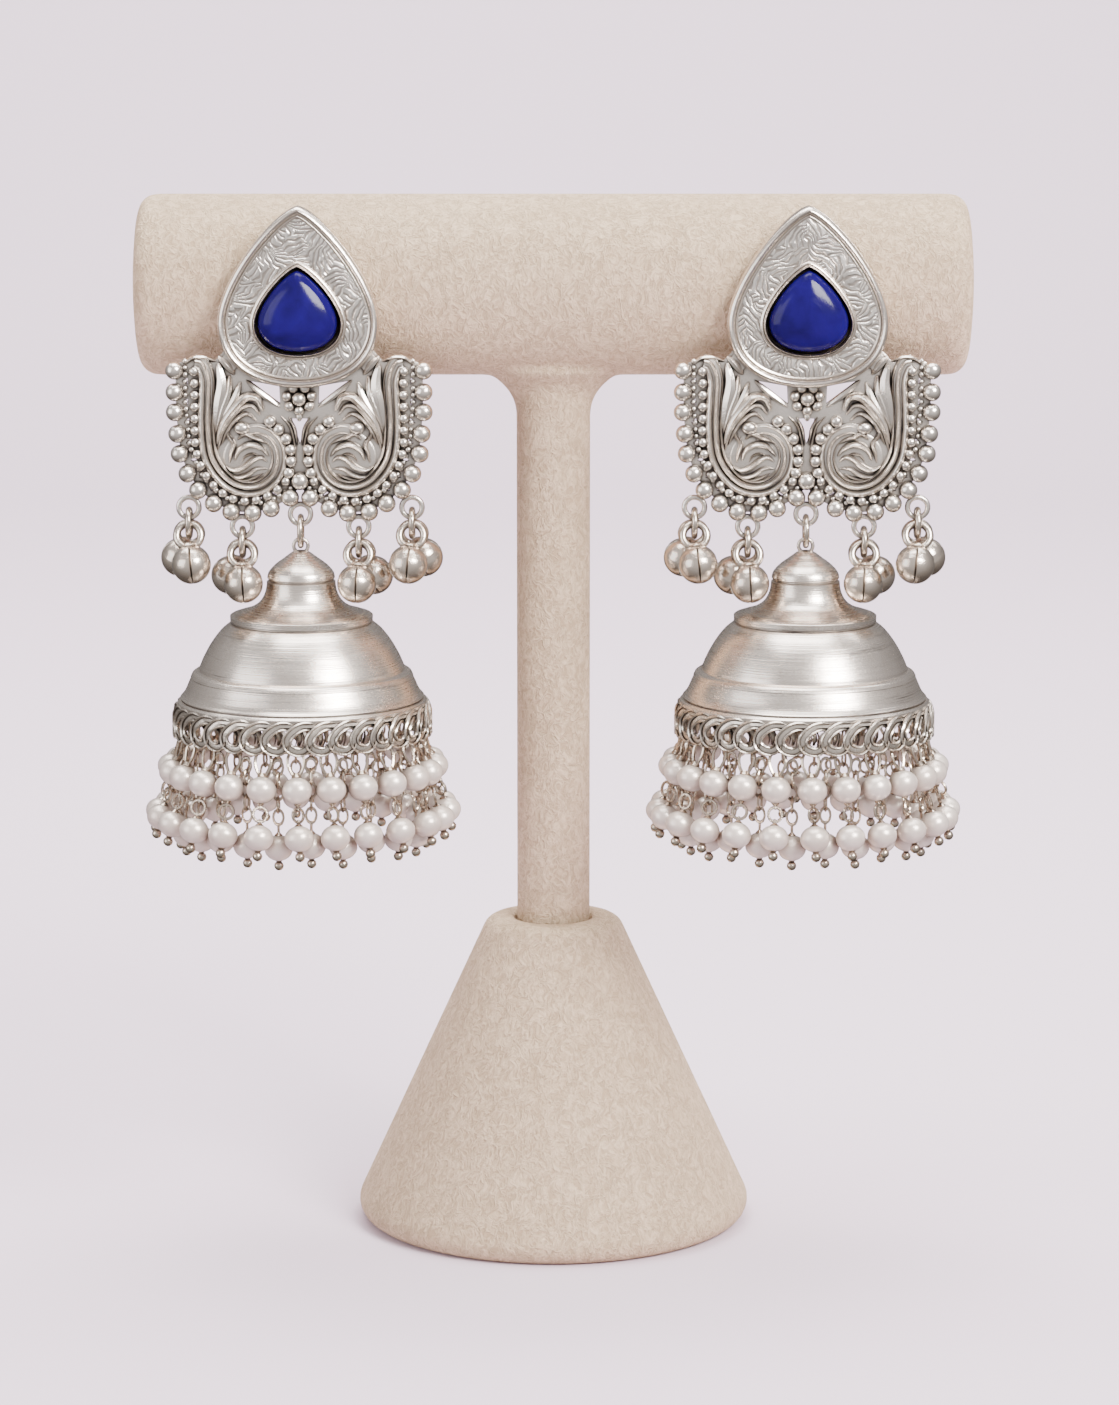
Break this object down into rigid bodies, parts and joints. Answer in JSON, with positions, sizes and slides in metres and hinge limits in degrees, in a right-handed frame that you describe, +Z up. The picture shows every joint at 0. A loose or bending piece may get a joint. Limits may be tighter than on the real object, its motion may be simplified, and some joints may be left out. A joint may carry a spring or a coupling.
{
  "type": "pair of jhumka earrings on a T-bar display stand",
  "caption": "Silver drop earrings with a pear stone stud, scroll panel, small bells and a hollow bell dome with pearl fringe, hung on a padded T-bar stand.",
  "frame": {"origin": "centre of the stand's flat foot", "axes": "+Z up, +X along the bar, the earrings face -Y"},
  "size_m": [0.102, 0.0556, 0.128],
  "materials": {
    "suede": "soft beige suede-like cloth",
    "silver": "antique silver with darkened recesses",
    "blue_stone": "polished opaque deep blue cabochon",
    "pearl": "warm white pearl"
  },
  "bodies": {
    "stand": {"stand_tee": "suede", "stand_base": "suede", "left_stud_panel": "silver", "left_stone": "blue_stone", "left_bell_ring_1": "silver", "left_bell_ring_2": "silver", "left_bell_ring_3": "silver", "left_bell_ring_4": "silver", "left_bell_1": "silver", "left_bell_2": "silver", "left_bell_3": "silver", "left_bell_4": "silver", "left_bell_5": "silver", "left_bell_6": "silver", "left_bell_7": "silver", "left_bell_8": "silver", "right_stud_panel": "silver", "right_stone": "blue_stone", "right_bell_ring_1": "silver", "right_bell_ring_2": "silver", "right_bell_ring_3": "silver", "right_bell_ring_4": "silver", "right_bell_1": "silver", "right_bell_2": "silver", "right_bell_3": "silver", "right_bell_4": "silver", "right_bell_5": "silver", "right_bell_6": "silver", "right_bell_7": "silver", "right_bell_8": "silver"},
    "left_ring": {"left_drop_ring": "silver"},
    "left_drop": {"left_dome": "silver", "left_fringe": "pearl"},
    "right_ring": {"right_drop_ring": "silver"},
    "right_drop": {"right_dome": "silver", "right_fringe": "pearl"}
  },
  "joints": [
    {"name": "left_ring_swing", "type": "hinge", "parent": "stand", "child": "left_ring", "pos_m": [-0.0304, -0.01185, 0.08914], "axis": [1, 0, 0], "range_deg": [-10, 15]},
    {"name": "left_dome_sway", "type": "hinge", "parent": "left_ring", "child": "left_drop", "pos_m": [-0.0304, -0.01185, 0.08655], "axis": [0, 1, 0], "range_deg": [-2.5, 2.5]},
    {"name": "right_ring_swing", "type": "hinge", "parent": "stand", "child": "right_ring", "pos_m": [0.0304, -0.01185, 0.08914], "axis": [1, 0, 0], "range_deg": [-10, 15]},
    {"name": "right_dome_sway", "type": "hinge", "parent": "right_ring", "child": "right_drop", "pos_m": [0.0304, -0.01185, 0.08655], "axis": [0, 1, 0], "range_deg": [-2.5, 2.5]}
  ]
}
